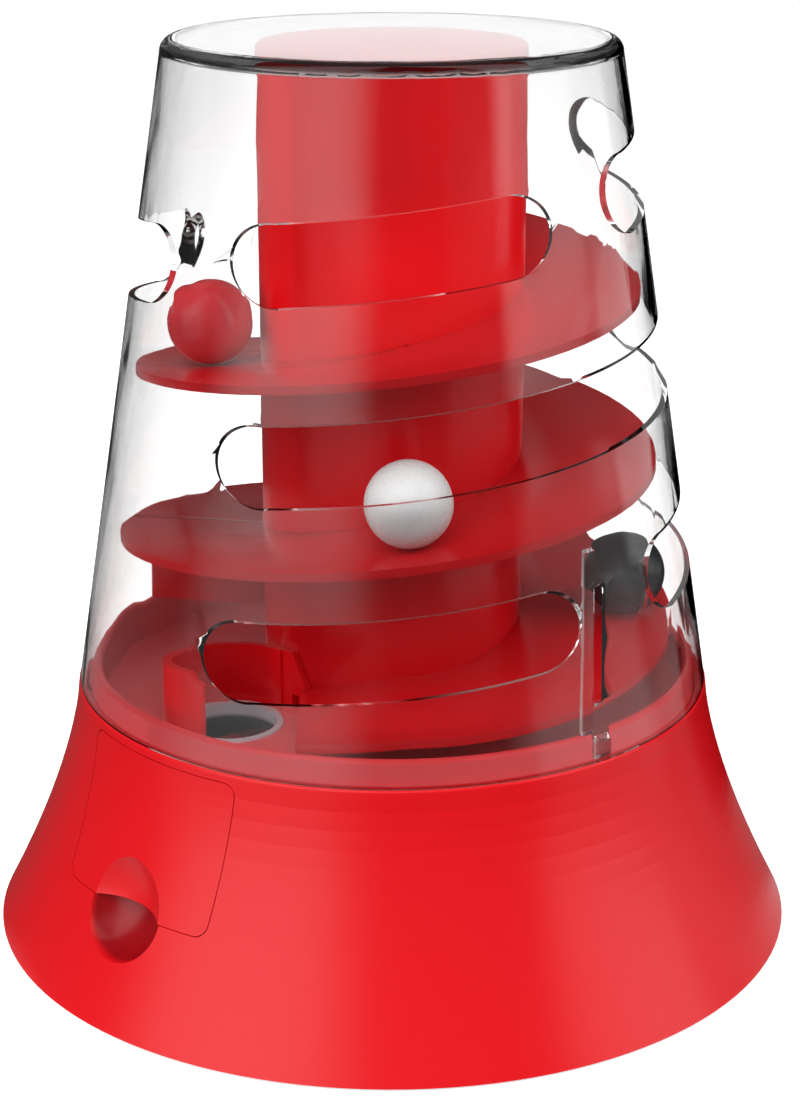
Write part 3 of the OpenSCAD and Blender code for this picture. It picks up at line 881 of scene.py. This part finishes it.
@dataclass
class CoverShell:
    """The clear cover with a thinner wall and the node's outer face."""

    finishes: Finishes
    foot_r: float = 0.09705
    top_r: float = 0.0669
    foot_z: float = 0.078
    top_z: float = 0.272
    wall: float = 0.0025
    spread: float = 1.011
    lid_rise: float = 0.0008
    lid_slack: float = 0.0004
    inner_shares: Range = (0.6, 1.5)
    lid_share: float = 0.3
    smooth: float = 40.0

    def build(self) -> None:
        """Make the cover and let it stand for its node."""
        piece = Bench.copy_node("clear_cover", "cover_shell")
        self._move(piece, self._on_inner_wall, lambda: bpy.ops.transform.resize(
            value=(self.spread, self.spread, 1.0), center_override=(0.0, 0.0, 0.0)))
        self._move(piece, self._under_lid, lambda: bpy.ops.transform.translate(
            value=(0.0, 0.0, self.lid_rise)))
        bpy.ops.object.shade_smooth_by_angle(angle=math.radians(self.smooth))
        evening = piece.modifiers.new("evening", "WEIGHTED_NORMAL")
        evening.keep_sharp = True
        bpy.ops.object.modifier_apply(modifier=evening.name)
        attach(piece, Body.COVER.value)
        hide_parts("clear_cover")
        self.finishes.put(piece, "clear_gloss_painted_rims")
        LOG.info("made %s", piece.name)

    def _depth(self, place: Vector) -> float:
        """Tell how far a point lies inside the outer cone.

        Args:
            place: The point.

        Returns:
            The level distance in metres.
        """
        slope = (self.top_r - self.foot_r) / (self.top_z - self.foot_z)
        return self.foot_r + slope * (place.z - self.foot_z) - math.hypot(place.x, place.y)

    def _on_inner_wall(self, place: Vector) -> bool:
        """Tell whether a point lies on the wall's inner face.

        Args:
            place: The point.

        Returns:
            Whether it does.
        """
        low, high = (share * self.wall for share in self.inner_shares)
        return place.z < self.top_z - self.wall / 2.0 and low < self._depth(place) < high

    def _under_lid(self, place: Vector) -> bool:
        """Tell whether a point lies on the lid's inner face.

        Args:
            place: The point.

        Returns:
            Whether it does.
        """
        off_level = abs(place.z - self.top_z + self.wall)
        return off_level < self.lid_slack and self._depth(place) > self.lid_share * self.wall

    @staticmethod
    def _move(piece: bpy.types.Object, chosen: Callable[[Vector], bool],
              step: Callable[[], object]) -> None:
        """Move the vertices at some places by an operator.

        Args:
            piece: Piece to change.
            chosen: Test of a vertex's place.
            step: Operator call that moves what is selected.
        """
        Bench.pick_vertices(piece, chosen)
        step()
        bpy.ops.object.mode_set(mode="OBJECT")
        LOG.info("moved %d vertices of %s", sum(v.select for v in piece.data.vertices), piece.name)


@dataclass(frozen=True)
class Ball:
    """A ball moulded in two halves, with the seam where they meet."""

    node: str
    body: Body
    finish: str
    tilt: Point
    seam_w: float = 0.0004
    seam_deep_share: float = 0.011
    seam_segments: int = 2
    seam_slack: float = 0.000001
    segments: int = 64
    rings: int = 32
    smooth: float = 20.0

    def build(self, finishes: Finishes) -> None:
        """Make the ball and let it stand for its node.

        Args:
            finishes: Finishes of the toy.
        """
        low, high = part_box(self.node)
        middle = [(a + b) / 2.0 for a, b in zip(low, high)]
        radius = (high[0] - low[0]) / 2.0
        bpy.ops.mesh.primitive_uv_sphere_add(segments=self.segments, ring_count=self.rings,
                                             radius=radius, location=(0.0, 0.0, 0.0))
        piece = bpy.context.object
        piece.name = self.node + "_halves"
        self._pick_seam(piece)
        bpy.ops.mesh.bevel(offset=self.seam_w / 2.0, segments=self.seam_segments, affect="EDGES")
        self._pick_seam(piece)
        inward = 1.0 - self.seam_deep_share
        bpy.ops.transform.resize(value=(inward, inward, 1.0), center_override=(0.0, 0.0, 0.0))
        bpy.ops.object.mode_set(mode="OBJECT")
        piece.location = middle
        piece.rotation_euler = [math.radians(turn) for turn in self.tilt]
        bpy.ops.object.transform_apply(location=True, rotation=True, scale=True)
        bpy.ops.object.shade_smooth_by_angle(angle=math.radians(self.smooth))
        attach(piece, self.body.value)
        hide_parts(self.node)
        finishes.put(piece, self.finish)
        LOG.info("made %s", piece.name)

    def _pick_seam(self, piece: bpy.types.Object) -> None:
        """Select the ring of edges round the ball's middle, in edit mode.

        Args:
            piece: The ball, before it is turned and moved.
        """
        Bench.pick_vertices(piece, lambda place: abs(place.z) < self.seam_slack)
        bpy.ops.mesh.select_mode(type="EDGE")


BALLS = (
    Ball("ball_red", Body.BALL_RED, "ball_crimson", (62.0, 18.0, 0.0)),
    Ball("ball_white", Body.BALL_WHITE, "ball_white", (38.0, -24.0, 0.0)),
    Ball("ball_black", Body.BALL_BLACK, "ball_black", (70.0, 30.0, 20.0)),
)


@dataclass(frozen=True)
class MirrorBand:
    """Bright upright band that glossy faces mirror, by azimuth from the front to the right."""

    azimuth: float
    half: float
    edge: float
    near: float
    far: float
    high: float
    tall: bool = True

    def levels(self, first: float, last: float) -> tuple[float, ...]:
        """Give the band's place with two strengths.

        Args:
            first: Strength where the band begins.
            last: Strength where it ends.

        Returns:
            Azimuth, half width, soft edge and the two strengths.
        """
        return self.azimuth, self.half, self.edge, first, last


@dataclass(frozen=True)
class Softbox:
    """One evenly lit panel that looks at the toy."""

    name: str
    azimuth: float
    height: float
    reach: float
    width: float
    tall: float
    glow: float
    seen: bool = True
    aim_z: float = 0.13

    def build(self) -> None:
        """Make the lamp; its azimuth runs from the front to the right."""
        turn = math.radians(self.azimuth)
        place = Vector((self.reach * math.sin(turn), -self.reach * math.cos(turn), self.height))
        data = bpy.data.lights.new(self.name, "AREA")
        data.shape = "RECTANGLE"
        data.size = self.width
        data.size_y = self.tall
        data.energy = self.glow * math.pi * self.width * self.tall
        lamp = bpy.data.objects.new(self.name, data)
        lamp.location = place
        aim = Vector((0.0, 0.0, self.aim_z)) - place
        lamp.rotation_euler = aim.to_track_quat("-Z", "Y").to_euler()
        lamp.visible_glossy = self.seen
        lamp.visible_transmission = False
        bpy.context.scene.collection.objects.link(lamp)


@dataclass(frozen=True)
class Card:
    """Card beside the toy that only reflections and refractions show.

    Its near edge leans from foot_x at the floor to top_x at top_z, and its far edge is upright.
    """

    name: str
    top_x: float
    foot_x: float
    far_x: float
    top_z: float
    glow: float = 0.0
    back_y: float = 0.1

    def build(self) -> None:
        """Stand the card in the studio."""
        bpy.ops.mesh.primitive_plane_add(size=1.0, location=(0.0, 0.0, 0.0))
        card = bpy.context.object
        card.name = self.name
        corners = ((self.foot_x, 0.0), (self.far_x, 0.0),
                   (self.top_x, self.top_z), (self.far_x, self.top_z))
        for vertex, (x, z) in zip(card.data.vertices, corners):
            vertex.co = (x, self.back_y, z)
        sheet = NodeSheet(self.name + "_paint")
        card.data.materials.append(sheet.finish(sheet.white_glow(self.glow)))
        card.visible_camera = False
        card.visible_diffuse = False
        card.visible_shadow = False


@dataclass
class Studio:
    """Camera, floor, world, softboxes and a dark card."""

    camera_at: Point = (0.0, -0.704, 0.3499)
    pitch: float = 18.413
    yaw: float = 0.195
    lens: float = 78.68
    sensor: float = 36.0
    ambient: float = 0.4
    floor_size: float = 30.0
    floor_glow: float = 0.65
    paper_lit: Colour = (0.05, 0.05, 0.05, 1.0)
    paper_seen: Colour = (0.9, 0.9, 0.9, 1.0)
    floor_dim: float = 0.02
    sky_dim: float = 0.045
    mirror_bands: tuple[MirrorBand, ...] = (
        MirrorBand(-44.0, 26.0, 14.0, 0.45, 0.6, 1.08),
        MirrorBand(73.0, 23.0, 5.0, 0.4, 0.2, 1.08),
        MirrorBand(114.0, 15.0, 4.0, 0.1, 0.8, 0.4, False),
    )
    floor_run: tuple[float, float] = (0.8, 1.1)
    horizon: tuple[float, float] = (-0.04, 0.05)
    low_end: tuple[float, float] = (0.18, 0.08)
    softboxes: tuple[Softbox, ...] = (
        Softbox("left_softbox", -45.0, 0.6, 1.3, 1.3, 1.5, 2.6, False),
        Softbox("right_softbox", 78.0, 0.6, 1.3, 0.9, 1.5, 2.6, False),
        Softbox("back_panel", 180.0, 0.455, 1.6, 0.48, 0.16, 1.15),
        Softbox("high_back", 180.0, 1.1, 1.6, 1.1, 0.45, 0.6),
        Softbox("top_light", 0.0, 0.9, 0.7, 0.6, 0.6, 4.0, False),
    )
    card: Card = Card("right_card", 0.09, 0.125, 0.26, 0.29)

    def build(self) -> None:
        """Make the whole studio."""
        self._camera()
        self._floor()
        self._world()
        for softbox in self.softboxes:
            softbox.build()
        self.card.build()
        bpy.context.scene.view_settings.view_transform = "Standard"

    def _camera(self) -> None:
        """Make the camera at the photograph's place."""
        data = bpy.data.cameras.new("camera")
        data.lens = self.lens
        data.sensor_width = self.sensor
        camera = bpy.data.objects.new("camera", data)
        camera.location = self.camera_at
        camera.rotation_euler = (math.radians(90.0 - self.pitch), 0.0, math.radians(-self.yaw))
        bpy.context.scene.collection.objects.link(camera)
        bpy.context.scene.camera = camera

    def _floor(self) -> None:
        """Make the floor: white to the eye, duller as a light."""
        bpy.ops.mesh.primitive_plane_add(size=self.floor_size, location=(0.0, 0.0, 0.0))
        floor = bpy.context.object
        floor.name = "studio_floor"
        sheet = NodeSheet("floor_paper")
        eye, mirror = self._sight(sheet)
        shader = sheet.add("BsdfDiffuse")
        sheet.link(sheet.blend(eye, self.paper_lit, self.paper_seen), shader.inputs["Color"])
        bands = [band.levels(band.near, band.far) for band in self.mirror_bands]
        mirrored = sheet.mirror_glow(sheet.place, bands, self.floor_dim,
                                     sheet.measure("LENGTH", sheet.place), self.floor_run)
        strength = sheet.number("MULTIPLY_ADD", eye, self.floor_glow,
                                sheet.product(mirror, mirrored))
        both = sheet.add("AddShader")
        sheet.link(shader.outputs["BSDF"], both.inputs[0])
        sheet.link(sheet.white_glow(strength), both.inputs[1])
        floor.data.materials.append(sheet.finish(both.outputs["Shader"]))

    @staticmethod
    def _sight(sheet: NodeSheet) -> tuple[Socket, Socket]:
        """Tell what the camera sees and what shines in glossy faces from what lights the toy.

        Args:
            sheet: Sheet of the material or the world.

        Returns:
            Two values that are 1 for the camera's view, straight or through clear plastic,
            and 1 for what is mirrored.
        """
        none, some = 0.1, 0.9
        path = sheet.add("LightPath")
        glossy = path.outputs["Glossy Depth"]
        seen = sheet.number("MAXIMUM", path.outputs["Is Camera Ray"],
                            path.outputs["Is Transmission Ray"])
        undiffused = sheet.band(path.outputs["Diffuse Depth"], some, none)
        once = sheet.number("COMPARE", glossy, 1.0, 0.4)
        eye = sheet.product(undiffused, sheet.band(once, some, none), seen)
        return eye, sheet.product(undiffused, sheet.band(glossy, none, some))

    def _world(self) -> None:
        """Make the surround: white to the eye, dim in reflections, softer as a light."""
        world = bpy.data.worlds.new("studio_world")
        bpy.context.scene.world = world
        sheet = NodeSheet("studio_world", world)
        eye, mirror = self._sight(sheet)
        facing = sheet.coordinates.outputs["Generated"]
        _, _, rise = sheet.axes(facing)
        tall, low = (
            sheet.mirror_glow(facing, [band.levels(band.far, band.high)
                                       for band in self.mirror_bands if band.tall is kind],
                              dim, rise, self.horizon)
            for kind, dim in ((True, self.sky_dim), (False, 0.0)))
        mirrored = sheet.number("MULTIPLY_ADD", low, sheet.band(rise, *self.low_end), tall)
        light = sheet.blend(mirror, self.ambient, mirrored, "FLOAT")
        background = sheet.add("Background")
        background.inputs["Color"].default_value = WHITE
        sheet.link(sheet.blend(eye, light, 1.0, "FLOAT"), background.inputs["Strength"])
        output = sheet.add("OutputWorld")
        sheet.link(background.outputs["Background"], output.inputs["Surface"])


def main() -> None:
    """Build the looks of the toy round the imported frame."""
    logging.basicConfig(level=logging.INFO, format="%(message)s")
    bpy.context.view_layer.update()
    bpy.ops.object.select_all(action="DESELECT")
    finishes = Finishes()
    for node, finish in NODE_FINISH.items():
        finishes.put(frame["nodes"][node], finish)
    SpiralTrack(finishes).build()
    CoverShell(finishes).build()
    for ball in BALLS:
        ball.build(finishes)
    Studio().build()


if __name__ == "__main__":
    main()
